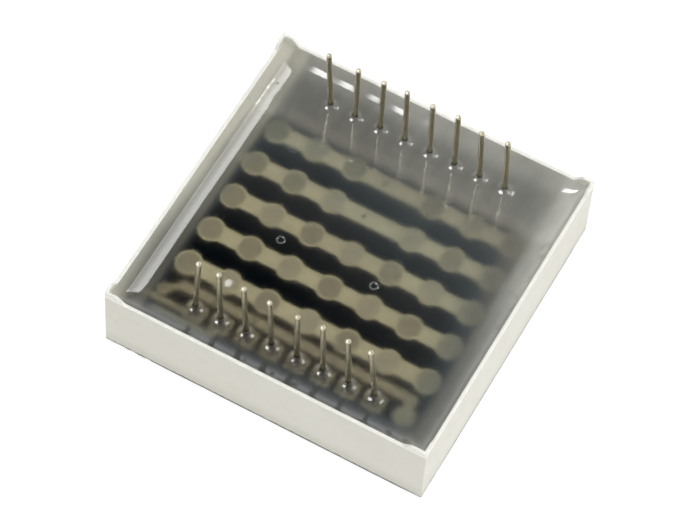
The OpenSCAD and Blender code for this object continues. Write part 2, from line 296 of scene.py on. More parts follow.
def mat_laminate():
    m, nt, p, _ = material("laminate")
    v, x, y, z = coords(nt)
    w1 = node(nt, "ShaderNodeTexWave", {"Vector": v, "Scale": 1.4, "Distortion": 1.0, "Detail": 1.0}, bands_direction="X").outputs["Fac"]
    w2 = node(nt, "ShaderNodeTexWave", {"Vector": v, "Scale": 1.4, "Distortion": 1.0, "Detail": 1.0}, bands_direction="Y").outputs["Fac"]
    w = mth(nt, "MULTIPLY", w1, w2)
    mid = noise(nt, v, 1.0, 3.0)
    c = mix(nt, w, (0.035, 0.045, 0.05), (0.075, 0.09, 0.095))
    c = mix(nt, step(nt, mid, 0.4, 0.7, 0.0, 0.5), c, (0.10, 0.105, 0.095))
    wire(nt, p, color=c, rough=0.6, normal=bump(nt, w, 0.3, 0.02))
    return m


def mat_copper():
    m, nt, p, _ = material("bare_copper")
    v, x, y, z = coords(nt)
    mid = noise(nt, v, 2.0, 4.0, 0.6)
    c = mix(nt, step(nt, mid, 0.35, 0.7), (0.72, 0.40, 0.24), (0.55, 0.30, 0.18))
    wire(nt, p, color=c, metal=1.0, rough=step(nt, mid, 0.3, 0.7, 0.28, 0.45, "LINEAR"), normal=bump(nt, noise(nt, v, 20.0), 0.3, 0.01))
    return m


def mat_resist_white():
    m, nt, p, _ = material("resist_white")
    v, x, y, z = coords(nt)
    mid = noise(nt, v, 1.5, 4.0, 0.6)
    c = mix(nt, step(nt, mid, 0.35, 0.7), (0.80, 0.81, 0.78), (0.72, 0.73, 0.69))
    wire(nt, p, color=c, rough=step(nt, mid, 0.3, 0.7, 0.4, 0.5, "LINEAR"), normal=bump(nt, noise(nt, v, 16.0), 0.3, 0.01))
    return m


def mat_chip():
    m, nt, p, _ = material("chip")
    v, x, y, z = coords(nt)
    n1 = noise(nt, v, 18.0, 3.0)
    c = mix(nt, n1, (0.50, 0.42, 0.16), (0.66, 0.57, 0.26))
    wire(nt, p, color=c, rough=0.25, metal=0.3, normal=bump(nt, n1, 0.2, 0.005))
    return m


def mat_gold():
    m, nt, p, _ = material("bond_gold")
    v, x, y, z = coords(nt)
    n1 = noise(nt, v, 20.0, 2.0)
    wire(nt, p, color=mix(nt, n1, (0.95, 0.68, 0.26), (0.85, 0.58, 0.22)), metal=1.0, rough=0.22, normal=bump(nt, n1, 0.2, 0.004))
    return m


def mat_solder(name, a, b, metal, rough):
    m, nt, p, _ = material(name)
    v, x, y, z = coords(nt)
    mid = noise(nt, v, 1.8, 4.0, 0.6)
    fine = noise(nt, v, 15.0, 3.0, 0.6)
    c = mix(nt, step(nt, mid, 0.35, 0.7), a, b)
    c = mix(nt, step(nt, fine, 0.6, 0.8, 0.0, 0.3), c, tuple(0.7 * k for k in b))
    wire(nt, p, color=c, metal=metal, rough=step(nt, mid, 0.3, 0.7, rough - 0.06, rough + 0.08, "LINEAR"),
         normal=bump(nt, mth(nt, "ADD", mid, mth(nt, "MULTIPLY", fine, 0.3)), 0.35, 0.03))
    return m


def mat_pin():
    m, nt, p, _ = material("pin_metal")
    v, x, y, z = coords(nt)
    along = stretch(nt, v, (1.0, 1.0, 0.10))
    streak = noise(nt, along, 5.5, 4.0, 0.6)
    drag = noise(nt, stretch(nt, v, (1.0, 1.0, 0.03)), 16.0, 3.0, 0.6)
    blot = noise(nt, v, 1.1, 3.0, 0.6)
    spots = noise(nt, v, 7.0, 3.0, 0.6)
    c = mix(nt, step(nt, streak, 0.35, 0.68), (0.60, 0.55, 0.42), (0.42, 0.38, 0.26))
    c = mix(nt, step(nt, blot, 0.42, 0.66, 0.0, 0.55), c, (0.48, 0.44, 0.31))
    c = mix(nt, step(nt, spots, 0.60, 0.76, 0.0, 0.45), c, (0.18, 0.155, 0.09))
    # the pins are darker towards the resin, near black just above it, and lighter at the cut tip
    low = mth(nt, "MULTIPLY", step(nt, z, 9.2, 6.3), step(nt, streak, 0.30, 0.60))
    c = mix(nt, mth(nt, "MULTIPLY", low, 0.35), c, (0.16, 0.14, 0.075))
    c = mix(nt, step(nt, z, 7.05, 6.55, 0.0, 0.75), c, (0.07, 0.06, 0.035))
    c = mix(nt, step(nt, z, 13.32, 13.62), c, (0.50, 0.47, 0.38))
    r = mth(nt, "ADD", step(nt, spots, 0.35, 0.75, 0.34, 0.50, "LINEAR"), step(nt, z, 8.5, 6.3, 0.0, 0.08))
    h = mth(nt, "ADD", mth(nt, "MULTIPLY", drag, 0.7), mth(nt, "MULTIPLY", spots, 0.5))
    wire(nt, p, color=c, metal=1.0, rough=r, normal=bump(nt, h, 0.35, 0.012))
    return m


SCRATCHES = [((7.8, 10.2), (8.4, 8.0), 0.035, 1.0), ((10.0, 10.2), (11.3, 8.1), 0.03, 0.7), ((13.0, 8.5), (14.7, 8.2), 0.03, 0.9),
             ((13.2, 8.1), (14.6, 7.8), 0.025, 0.8), ((2.6, 9.9), (3.9, 9.3), 0.025, 0.5), ((-3.2, 3.1), (-2.2, 1.2), 0.02, 0.4),
             ((9.2, 1.4), (10.8, 0.9), 0.02, 0.5), ((5.4, -6.2), (6.1, -7.6), 0.02, 0.4)]


# brightness of the painted veil across x and across y: reflected light painted into the resin, partly its own slight
# cloudiness
HAZE_SHEEN_X = [(-15.6, 0.46), (-15.2, 0.37), (-14.9, 0.28), (-14.7, 0.22), (-14.5, 0.15), (-14.2, 0.09), (-13.8, 0.10), (-13.4, 0.12), (-13.0, 0.085),
          (-12.8, 0.050), (-12.5, 0.020), (-12.2, 0.006), (-12.0, 0.003), (-8.0, 0.000), (-4.0, 0.002), (0.0, 0.007),
          (4.0, 0.013), (8.0, 0.022), (11.0, 0.038), (12.0, 0.060), (13.0, 0.100), (13.5, 0.17), (14.0, 0.24), (14.6, 0.29), (15.6, 0.42)]
HAZE_SHEEN_Y = [(-15.6, 0.10), (-14.8, 0.06), (-13.8, 0.03), (-12.5, 0.012), (-8.0, 0.001), (-6.0, 0.000), (-2.0, 0.010), (2.0, 0.026), (6.0, 0.045),
          (8.0, 0.066), (9.3, 0.175), (11.0, 0.180), (12.5, 0.19), (13.6, 0.22), (14.5, 0.28), (15.6, 0.40)]
# share of the painted veil that is white rather than grey, against its brightness
HAZE_SHEEN_C = [(0.0, 0.95), (0.015, 0.85), (0.03, 0.72), (0.056, 0.50), (0.10, 0.28), (0.16, 0.22), (0.22, 0.27), (0.32, 0.37), (0.50, 0.55)]


def curve(nt, v, points, top):
    """A smooth curve through (value, height) points, heights given in parts of top."""
    lo, hi = points[0][0], points[-1][0]
    t = step(nt, v, lo, hi, kind="LINEAR")
    n = nt.nodes.new("ShaderNodeFloatCurve")
    c = n.mapping.curves[0]
    pts = [((q - lo) / (hi - lo), h / top) for q, h in points]
    c.points[0].location = pts[0]
    c.points[1].location = pts[-1]
    for q in pts[1:-1]:
        c.points.new(*q)
    n.mapping.update()
    nt.links.new(t, n.inputs["Value"])
    return mth(nt, "MULTIPLY", n.outputs[0], top)


# painted highlights: bright rings round the bubble marks, as x, y, radius and brightness
RINGS = [(-5.8, -2.5, 0.36, 0.11), (3.6, -2.5, 0.36, 0.14), (-9.5, 6.35, 0.30, 0.06), (-2.5, -5.6, 0.2, 0.04), (2.9, 2.3, 0.05, 0.05), (4.2, 6.4, 0.05, 0.05)]


def mat_potting():
    m, nt, p, out = material("potting")
    v, x, y, z = coords(nt)
    fine = noise(nt, v, 1.8, 3.0, 0.5)
    dust = voronoi(nt, v, 1.15)
    grain = noise(nt, v, 26.0, 2.0, 0.5)
    h = mth(nt, "ADD", mth(nt, "MULTIPLY", fine, 0.10), mth(nt, "MULTIPLY", grain, 0.012))
    h = mth(nt, "ADD", h, step(nt, dust, 0.05, 0.0, 0.0, 0.35))
    area_ = mth(nt, "MULTIPLY", step(nt, y, 6.8, 8.6), step(nt, y, 11.9, 11.5))
    h = mth(nt, "ADD", h, mth(nt, "MULTIPLY", area_, mth(nt, "MULTIPLY", noise(nt, v, 2.4, 2.0, 0.5), 1.6)))
    for a, b, w, k in SCRATCHES:
        d = seg_dist(nt, x, y, a, b)
        h = mth(nt, "SUBTRACT", h, mth(nt, "MULTIPLY", step(nt, d, w, 0.0), 0.8 * k))
    nrm = bump(nt, h, 0.30, 0.02)
    # painted reflection: a white-grey veil painted into the resin by position, standing in for reflected light and
    # partly for its own slight cloudiness, stronger towards two sides and where it climbs the walls
    gx = curve(nt, x, HAZE_SHEEN_X, 0.5)
    gy = curve(nt, y, HAZE_SHEEN_Y, 0.5)
    gx = mth(nt, "MULTIPLY", gx, mth(nt, "ADD", step(nt, y, -8.0, 8.0, 0.55, 1.35, "LINEAR"), step(nt, x, -12.0, -13.5, 0.0, 0.25)))
    haze_and_sheen = mth(nt, "ADD", gx, gy)
    drift = noise(nt, stretch(nt, v, (1.0, 0.8, 1.0)), 0.13, 2.0, 0.5)
    haze_and_sheen = mth(nt, "MULTIPLY", haze_and_sheen, step(nt, drift, 0.3, 0.7, 0.85, 1.15, "LINEAR"))
    streak = noise(nt, stretch(nt, v, (1.0, 0.5, 1.0)), 0.9, 3.0, 0.6)
    haze_and_sheen = mth(nt, "MULTIPLY", haze_and_sheen, step(nt, streak, 0.3, 0.7, 0.93, 1.07, "LINEAR"))
    # painted highlights: bright rings round the bubble marks are added to the painted veil
    for bx, by, r0, k in RINGS:
        rho = node(nt, "ShaderNodeVectorMath", {0: v, 1: (bx, by, RESIN_Z)}, operation="DISTANCE").outputs["Value"]
        band = step(nt, mth(nt, "ABSOLUTE", mth(nt, "SUBTRACT", rho, r0)), 0.10, 0.02)
        haze_and_sheen = mth(nt, "ADD", haze_and_sheen, mth(nt, "MULTIPLY", band, k))
    white = curve(nt, haze_and_sheen, HAZE_SHEEN_C, 1.0)
    clear = mth(nt, "SUBTRACT", 1.0, mth(nt, "DIVIDE", mth(nt, "MULTIPLY", haze_and_sheen, 0.95), white), clamp=True)
    # the painted veil is bluish where faint, and yellower where strong and beside the -X wall
    tint = mix(nt, step(nt, haze_and_sheen, 0.01, 0.045), (0.985, 0.98, 0.955), (0.86, 1.0, 1.06))
    tint = mix(nt, step(nt, haze_and_sheen, 0.05, 0.15), tint, (1.0, 1.0, 0.90))
    tint = mix(nt, step(nt, x, -12.4, -13.2), tint, (1.0, 0.98, 0.82))
    tint = mix(nt, 1.0, tint, node(nt, "ShaderNodeCombineColor", {0: white, 1: white, 2: white}).outputs[0], "MULTIPLY")
    wire(nt, p, color=tint, trans=clear, rough=mth(nt, "MAXIMUM", step(nt, haze_and_sheen, 0.0, 0.08, 0.365, 0.56), step(nt, y, -8.2, -10.6, 0.36, 0.60)), ior=1.5, spec=0.04, tint=(0.0, 0.0, 0.0), coat=1.0, coat_rough=0.02,
         coat_ior=1.5, normal=nrm, coat_normal=nrm)
    # light from the lamps passes through the clear resin
    lp = nt.nodes.new("ShaderNodeLightPath")
    tr = nt.nodes.new("ShaderNodeBsdfTransparent")
    tr.inputs[0].default_value = (0.96, 0.96, 0.94, 1.0)
    mx = nt.nodes.new("ShaderNodeMixShader")
    nt.links.new(lp.outputs["Is Shadow Ray"], mx.inputs[0])
    nt.links.new(p.outputs[0], mx.inputs[1])
    nt.links.new(tr.outputs[0], mx.inputs[2])
    nt.links.new(mx.outputs[0], out.inputs[0])
    return m


def mat_disc():
    m, nt, p, _ = material("solder_disc")
    v, x, y, z = coords(nt)
    mid = noise(nt, v, 1.8, 4.0, 0.6)
    fine = noise(nt, v, 15.0, 3.0, 0.6)
    col = mth(nt, "ROUND", mth(nt, "DIVIDE", x, PITCH))
    row = mth(nt, "ROUND", mth(nt, "DIVIDE", y, PITCH))
    odd = mth(nt, "ABSOLUTE", mth(nt, "MODULO", mth(nt, "ADD", col, row), 2.0))
    dull = mth(nt, "MAXIMUM", odd, step(nt, mth(nt, "ABSOLUTE", x), 9.9, 10.1))
    c = mix(nt, dull, (0.590, 0.535, 0.370), (0.435, 0.392, 0.265))
    # painted light: the discs are brightened towards the back and the +X side
    away = mth(nt, "ADD", mth(nt, "MULTIPLY", x, 0.8), y)
    c = mix(nt, step(nt, away, -4.0, 12.0), c, (1.28, 1.22, 1.16), "MULTIPLY")
    c = mix(nt, step(nt, mid, 0.35, 0.7, 0.0, 0.4), c, (0.375, 0.345, 0.240))
    c = mix(nt, step(nt, fine, 0.6, 0.8, 0.0, 0.3), c, (0.26, 0.24, 0.17))
    wire(nt, p, color=c, metal=0.10, spec=0.1, rough=step(nt, mid, 0.3, 0.7, 0.44, 0.58, "LINEAR"),
         normal=bump(nt, mth(nt, "ADD", mid, mth(nt, "MULTIPLY", fine, 0.3)), 0.35, 0.03))
    return m


MATS = {
    "shell_white": mat_shell(), "face_ink": mat_ink(), "dot_resin": mat_dot(), "chip": mat_chip(), "bond_gold": mat_gold(),
    "bare_copper": mat_copper(), "resist_white": mat_resist_white(), "laminate": mat_laminate(),
    "plated_copper": mat_plated(), "resist_black": mat_resist(),
    "solder": mat_disc(),
    "solder_pin": mat_solder("solder_fillet", (0.48, 0.46, 0.40), (0.38, 0.36, 0.31), 0.8, 0.38),
    "via": mat_solder("via_fill", (0.045, 0.042, 0.035), (0.03, 0.028, 0.024), 0.1, 0.5),
    "potting": mat_potting(), "pin_metal": mat_pin(),
}

# carried-over CAD nodes
for name, key in (("led_dies", "chip"), ("bond_wires", "bond_gold"), ("front_copper", "bare_copper"),
                  ("front_resist", "resist_white"), ("circuit_board", "laminate"), ("rear_copper", "plated_copper"),
                  ("rear_resist", "resist_black"), ("via_plugs", "via"), ("land_solder", "solder"), ("pin_solder", "solder_pin")):
    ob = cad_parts[name]
    if not ob.material_slots:
        ob.data.materials.append(MATS[key])
    for s in ob.material_slots:
        s.material = MATS[key]


# ---------------------------------------------------------------------------
# Mesh helpers
# ---------------------------------------------------------------------------
def place(name, me, mat, slot, *nodes, sharp=None, weighted=False):
    ob = bpy.data.objects.new(name, me)
    bpy.context.scene.collection.objects.link(ob)
    me.materials.append(MATS[mat])
    me.polygons.foreach_set("use_smooth", [True] * len(me.polygons))
    if sharp:
        me.set_sharp_from_angle(angle=math.radians(sharp))
    if weighted:
        w = ob.modifiers.new("weighted", "WEIGHTED_NORMAL")
        w.keep_sharp = True
        w.weight = 80
    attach(ob, "root")
    if nodes:
        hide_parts(*nodes)
    return ob


def from_bm(bm, name):
    bmesh.ops.recalc_face_normals(bm, faces=bm.faces)
    me = bpy.data.meshes.new(name)
    bm.to_mesh(me)
    bm.free()
    me.transform(Matrix.Scale(MM, 4))
    me.update()
    return me


def bridge(bm, a, b, closed=True):
    n = len(a)
    for i in range(n if closed else n - 1):
        j = (i + 1) % n
        bm.faces.new((a[i], a[j], b[j], b[i]))


def loop_edges(bm, ring):
    out = []
    for i in range(len(ring)):
        e = bm.edges.get((ring[i], ring[(i + 1) % len(ring)]))
        if e is None:
            e = bm.edges.new((ring[i], ring[(i + 1) % len(ring)]))
        out.append(e)
    return out


# ---------------------------------------------------------------------------
# Tray: one closed moulding, swept round the square, with its cups
# ---------------------------------------------------------------------------
def rim_height(t, flat=POST_FLAT, slope=POST_SLOPE):
    """Height of the wall at distance t from the middle of a side."""
    a = abs(t)
    edge = HALF - flat
    if a >= edge:
        return POST_Z
    if a <= edge - slope:
        return RIM_Z
    u = (edge - a) / slope
    return RIM_Z + (POST_Z - RIM_Z) * (1 + math.cos(math.pi * u)) / 2


# flat and slope of the posts, (side, end): sides 0 to 3 are +X, +Y, -X, -Y
POSTS = {(3, 1): (1.30, 1.30), (0, -1): (1.02, 1.10), (3, -1): (1.00, 1.10), (2, 1): (0.92, 1.05)}


def make_shell():
    bm = bmesh.new()
    R_OUT, R_IN = 0.09, 0.10
    edge = HALF - POST_FLAT

    def corner(d):
        r = R_OUT + (R_IN - R_OUT) * min(d / 0.45, 1.0)
        return HALF - d - r, r

    c0 = corner(0.0)[0]
    near_post = [edge - POST_SLOPE - k for k in (0.90, 0.78, 0.66, 0.55, 0.45, 0.36, 0.28, 0.21, 0.15, 0.10, 0.05)]
    mids = [-t for t in reversed(near_post)] + list(np.linspace(-(edge - POST_SLOPE - 1.1), edge - POST_SLOPE - 1.1, 27)) + near_post
    mids = [-(edge - POST_SLOPE)] + mids + [edge - POST_SLOPE]
    curve = [edge - POST_SLOPE + POST_SLOPE * i / 20 for i in range(1, 21)]
    plateau = [edge + (c0 - edge) * k for k in (0.3, 0.6, 0.85, 1.0)]
    ts = [-t for t in reversed(plateau)] + [-t for t in reversed(curve)] + mids + curve + plateau
    arcs = [math.radians(a) for a in (18, 36, 54, 72)]

    def ring(dz):
        """One ring of the sweep. dz(h) gives (distance in from the outer face, height)."""
        out = []
        for k in range(4):
            n = Vector((round(math.cos(k * math.pi / 2)), round(math.sin(k * math.pi / 2)), 0))
            t = Vector((-n.y, n.x, 0))
            for s in ts:
                flat, slope = POSTS.get((k, 1 if s > 0 else -1), (POST_FLAT, POST_SLOPE))
                d, z = dz(rim_height(s, flat, slope))
                c, r = corner(d)
                a = abs(s)
                if a > edge:
                    a = edge + (a - edge) * (c - edge) / (c0 - edge)
                p = n * (HALF - d) + t * math.copysign(a, s)
                out.append(bm.verts.new((p.x, p.y, z)))
            for th in arcs:
                d, z = dz(POST_Z)
                c, r = corner(d)
                p = n * (c + r * math.cos(th)) + t * (c + r * math.sin(th))
                out.append(bm.verts.new((p.x, p.y, z)))
        return out

    def din(z):
        return HALF - inner(z)

    e = 0.055
    profile = [lambda h: (0.05, MASK_T), lambda h: (0.012, MASK_T + 0.006), lambda h: (0.0, MASK_T + 0.03)]
    for f in (0.12, 0.3, 0.5, 0.7, 0.86, 0.95):
        profile.append(lambda h, f=f: (0.0, MASK_T + 0.03 + (h - e - MASK_T - 0.03) * f))
    profile += [lambda h: (0.0, h - e), lambda h: (0.008, h - 0.62 * e), lambda h: (0.022, h - 0.24 * e),
                lambda h: (0.050, h)]
    profile += [lambda h: (din(h) - 0.055, h), lambda h: (din(h) - 0.024, h - 0.24 * e),
                lambda h: (din(h) - 0.008, h - 0.62 * e), lambda h: (din(h - e), h - e)]
    for f in (0.93, 0.8, 0.6, 0.4, 0.2, 0.0):
        profile.append(lambda h, f=f: (din(PLATE_Z + 0.1 + (h - e - PLATE_Z - 0.1) * f), PLATE_Z + 0.1 + (h - e - PLATE_Z - 0.1) * f))
    profile += [lambda h: (din(PLATE_Z) + 0.03, PLATE_Z + 0.02), lambda h: (din(PLATE_Z) + 0.10, PLATE_Z)]
    rings = [ring(f) for f in profile]
    for a, b in zip(rings, rings[1:]):
        bridge(bm, a, b)
    low = loop_edges(bm, rings[0])
    top = loop_edges(bm, rings[-1])
    seg = 40
    for x in DOTS:
        for y in DOTS:
            pair = []
            for r, z in ((DOT_R, MASK_T), (CUP_R, PLATE_Z)):
                pair.append([bm.verts.new((x + r * math.cos(2 * math.pi * i / seg), y + r * math.sin(2 * math.pi * i / seg), z)) for i in range(seg)])
            bridge(bm, pair[0], pair[1])
            low += loop_edges(bm, pair[0])
            top += loop_edges(bm, pair[1])
    bmesh.ops.triangle_fill(bm, use_beauty=True, use_dissolve=False, edges=low, normal=(0, 0, -1))
    bmesh.ops.triangle_fill(bm, use_beauty=True, use_dissolve=False, edges=top, normal=(0, 0, 1))
    me = from_bm(bm, "tray_moulding")
    return place("tray_moulding", me, "shell_white", "shell_white", "reflector_shell", sharp=40, weighted=True)


# ---------------------------------------------------------------------------
# Printed black layer on the face, with a slightly uneven edge
# ---------------------------------------------------------------------------
def make_mask():
    bm = bmesh.new()
    n = 90
    edge = []
    rng = np.random.default_rng(5)
    for k in range(4):
        nx, ny = round(math.cos(k * math.pi / 2)), round(math.sin(k * math.pi / 2))
        wob = np.convolve(rng.normal(0, 1, n + 8), np.ones(5) / 5, mode="same")[:n]
        for i in range(n):
            t = -HALF + 0.12 + (2 * HALF - 0.24) * i / (n - 1)
            corner_gap = 0.05 * math.exp(-((HALF - abs(t)) / 1.3) ** 2)
            d = 0.008 + 0.008 * float(wob[i]) + corner_gap
            # the ink stops short in a few places near two corners
            for kk, c, w, amt in ((3, -14.3, 0.35, 0.10), (3, -13.1, 0.25, 0.08), (3, -11.6, 0.2, 0.07), (0, 13.9, 0.4, 0.09), (0, -12.8, 0.2, 0.06)):
                if k == kk:
                    d += amt * math.exp(-((t - c) / w) ** 2)
            d = max(0.004, d)
            edge.append((nx * (HALF - d) - ny * t, ny * (HALF - d) + nx * t))
    rings = []
    for z, off in ((0.012, 0.0), (MASK_T - 0.003, 0.0)):
        rings.append([bm.verts.new((x, y, z)) for x, y in edge])
    low = [bm.verts.new((x * (1 - 0.0009), y * (1 - 0.0009), 0.0)) for x, y in edge]
    bridge(bm, low, rings[0])
    bridge(bm, rings[0], rings[1])
    eb, et = loop_edges(bm, low), loop_edges(bm, rings[1])
    seg = 48
    for x in DOTS:
        for y in DOTS:
            r = DOT_R + 0.012
            cir = [[bm.verts.new((x + rr * math.cos(2 * math.pi * i / seg), y + rr * math.sin(2 * math.pi * i / seg), z)) for i in range(seg)]
                   for rr, z in ((r + 0.012, 0.0), (r, 0.012), (r, MASK_T - 0.003))]
            bridge(bm, cir[0], cir[1])
            bridge(bm, cir[1], cir[2])
            eb += loop_edges(bm, cir[0])
            et += loop_edges(bm, cir[2])
    bmesh.ops.triangle_fill(bm, use_beauty=True, use_dissolve=False, edges=eb, normal=(0, 0, -1))
    bmesh.ops.triangle_fill(bm, use_beauty=True, use_dissolve=False, edges=et, normal=(0, 0, 1))
    me = from_bm(bm, "face_print")
    return place("face_print", me, "face_ink", "face_ink", "face_mask", sharp=30)


# ---------------------------------------------------------------------------
# Sixty-four milky dots, each face drawn in a little as the resin cured
# ---------------------------------------------------------------------------
def make_dots():
    bm = bmesh.new()
    rng = np.random.default_rng(11)
    seg = 40
    for x in DOTS:
        for y in DOTS:
            sink = 0.030 + 0.015 * float(rng.random())
            rings = []
            prof = [(DOT_R * f, sink * (1 - f ** 2.2)) for f in (0.22, 0.45, 0.66, 0.83, 0.94)]
            prof += [(DOT_R - 0.015, 0.004), (DOT_R, 0.016), (DOT_R, MASK_T), (DOT_R - 0.003, MASK_T + 0.02)]
            prof += [(CUP_R + (DOT_R - CUP_R) * f - 0.004, PLATE_Z - (PLATE_Z - MASK_T) * f - 0.002) for f in (0.66, 0.33)]
            prof += [(CUP_R - 0.004, PLATE_Z - 0.004)]
            for r, z in prof:
                rings.append([bm.verts.new((x + r * math.cos(2 * math.pi * i / seg), y + r * math.sin(2 * math.pi * i / seg), z)) for i in range(seg)])
            mid = bm.verts.new((x, y, sink))
            for i in range(seg):
                bm.faces.new((mid, rings[0][(i + 1) % seg], rings[0][i]))
            for a, b in zip(rings, rings[1:]):
                bridge(bm, a, b)
            bm.faces.new(rings[-1])
    me = from_bm(bm, "cast_dots")
    return place("cast_dots", me, "dot_resin", "dot_resin", "dot_lenses", sharp=40)


# ---------------------------------------------------------------------------
# Sixteen wire pins, none of them quite straight
# ---------------------------------------------------------------------------
# sideways shift of each tip and change in its height, then how late the bend comes
TIPS = [
    (0.30, 0.02, 0.02, 1.0), (-0.24, -0.03, -0.05, 1.1), (-0.29, -0.12, -0.15, 1.0), (-0.28, -0.18, -0.22, 1.2),
    (-0.04, -0.18, -0.22, 1.0), (-0.20, -0.07, -0.10, 1.1), (-0.26, -0.13, -0.18, 1.0), (-0.66, -0.14, -0.18, 1.5),
    (-0.25, -0.04, -0.06, 1.1), (-0.24, -0.16, -0.22, 1.0), (-0.20, 0.10, 0.08, 1.0), (-0.17, 0.03, 0.02, 1.1),
    (-0.24, 0.11, 0.08, 1.0), (0.02, 0.02, 0.02, 1.0), (-0.02, 0.02, 0.02, 1.1), (-0.50, 0.08, 0.08, 1.0),
]


def make_pin(i):
    px, py = PINS[i]
    dx, dy, dz, late = TIPS[i]
    tip = TIP_Z + min(dz, 0.08)
    rng = np.random.default_rng(100 + i)
    seg = 28
    bm = bmesh.new()
    z0 = 6.25
    ph = rng.random(4) * 6.28
    zs = [(3.27, ROOT_R - 0.03), (3.30, ROOT_R), (4.30, ROOT_R), (4.80, ROOT_R), (5.6, 0.270), (6.2, 0.290)]
    body = np.concatenate([np.linspace(6.4, 7.1, 9)[:-1], np.linspace(7.1, tip - 0.42, 26)])
    for k, z in enumerate(body):
        r = PIN_R + 0.0035 * math.sin(1.7 * z + ph[0]) + 0.002 * math.sin(4.9 * z + ph[1]) + 0.045 * math.exp(-(z - 6.4) / 0.2)
        zs.append((float(z), r))
    bead = 0.012 + 0.008 * float(rng.random())
    for f, r in ((0.34, PIN_R + 0.002), (0.28, PIN_R + bead * 0.7), (0.22, PIN_R + bead), (0.165, PIN_R + bead * 0.75), (0.115, PIN_R - 0.012),
                 (0.07, PIN_R - 0.055), (0.035, PIN_R - 0.112), (0.012, PIN_R - 0.172)):
        zs.append((tip - f, r))
    rings = []
    for z, r in zs:
        u = max(0.0, (z - z0) / (tip - z0))
        g = u ** late
        ox = dx * g + 0.012 * math.sin(3.1 * u + ph[2]) * u * (1 - u) * 4 * 0.6
        oy = dy * g + 0.012 * math.sin(2.7 * u + ph[3]) * u * (1 - u) * 4 * 0.6
        slope_x = dx * late * max(u, 1e-6) ** (late - 1) / (tip - z0) if u > 0 else 0.0
        slope_y = dy * late * max(u, 1e-6) ** (late - 1) / (tip - z0) if u > 0 else 0.0
        ring = []
        for k in range(seg):
            a = 2 * math.pi * k / seg
            rr = r * (1 + 0.012 * math.sin(2 * a + ph[0]) + 0.006 * math.sin(3 * a + ph[1]))
            cx, cy = rr * math.cos(a), rr * math.sin(a)
            ring.append(bm.verts.new((px + ox + cx, py + oy + cy, z - slope_x * cx - slope_y * cy)))
        rings.append(ring)
    for a, b in zip(rings, rings[1:]):
        bridge(bm, a, b)
    cap = bm.verts.new((px + dx, py + dy, tip))
    for k in range(seg):
        bm.faces.new((rings[-1][k], rings[-1][(k + 1) % seg], cap))
    bm.faces.new(list(reversed(rings[0])))
    name = "wire_pin_%02d" % (i + 1)
    me = from_bm(bm, name)
    return place(name, me, "pin_metal", "pin_metal", "pin_%02d" % (i + 1), sharp=60)


# ---------------------------------------------------------------------------
# Potting resin: drawn up at the walls and round the pins, with the marks of its cure
# ---------------------------------------------------------------------------
HW, LAM = 1.12, 1.00          # rise at a wall, and how fast it falls away


EYE = Vector((69.7, -150.4, 279.0))


def facing(p, r):
    """Slopes of a surface at p that mirrors direction r to the eye."""
    v = (EYE - Vector(p)).normalized()
    h = Vector(r).normalized() + v
    return -h.x / h.z, -h.y / h.z


def toward(ang, ry):
    """Direction at an angle from overhead towards +X, with a given y part."""
    k = math.sqrt(1 - ry * ry)
    return (k * math.sin(math.radians(ang)), ry, k * math.cos(math.radians(ang)))


def bell(r, w):
    return np.exp(-(r / w) ** 2)


def plateau(r, a, w):
    return 1.0 / (1.0 + np.exp((r - a) / w))


